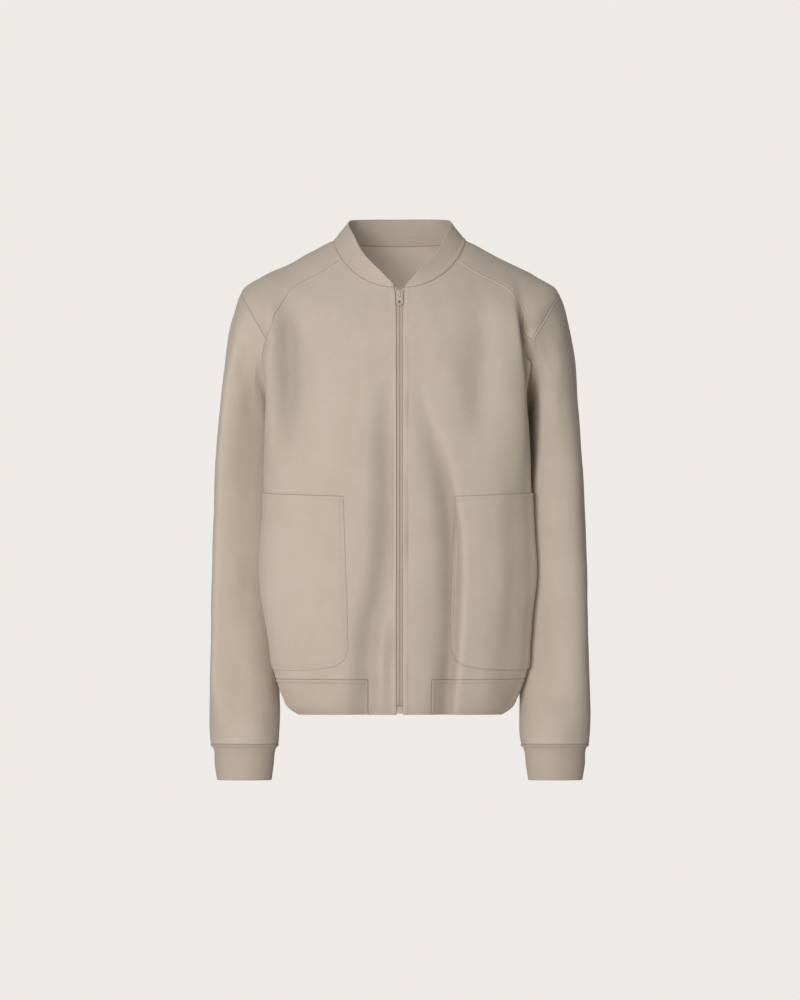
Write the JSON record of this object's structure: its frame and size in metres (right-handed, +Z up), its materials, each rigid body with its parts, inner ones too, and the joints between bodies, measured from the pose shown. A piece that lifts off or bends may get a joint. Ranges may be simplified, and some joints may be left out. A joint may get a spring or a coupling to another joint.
{
  "type": "zip-up sweat jacket",
  "caption": "Long-sleeved zip-up sweat jacket on a hollow general figure, with stand collar, shoulder yokes, patch pockets, hem band, cuffs and a swinging zip pull.",
  "frame": {"origin": "middle of the neck base, level with the points where the shoulder lines meet the collar", "axes": "+Z up the garment, -Y out of the front, +X towards the right of the front view"},
  "size_m": [0.5346, 0.2551, 0.7883],
  "materials": {
    "cloth": "soft matt double knit",
    "rib": "soft matt double knit, folded double",
    "tape": "woven tape",
    "chain": "satin",
    "metal": "satin"
  },
  "bodies": {
    "jacket": {"front_l": "cloth", "front_r": "cloth", "back": "cloth", "yoke_l": "cloth", "yoke_r": "cloth", "sleeve_l": "cloth", "sleeve_r": "cloth", "collar": "rib", "cuff_l": "rib", "cuff_r": "rib", "hem_band": "rib", "pocket_l": "cloth", "pocket_r": "cloth", "zip_tape_l": "tape", "zip_tape_r": "tape", "zip_chain": "chain", "zip_chain_l": "chain", "zip_chain_r": "chain", "zip_slider": "metal", "zip_box": "metal"},
    "pull": {"zip_pull": "metal"}
  },
  "joints": [
    {"name": "pull_swing", "type": "hinge", "parent": "jacket", "child": "pull", "pos_m": [0, -0.09074, -0.07606], "axis": [-1, 0, 0], "range_deg": [0, 165]}
  ]
}
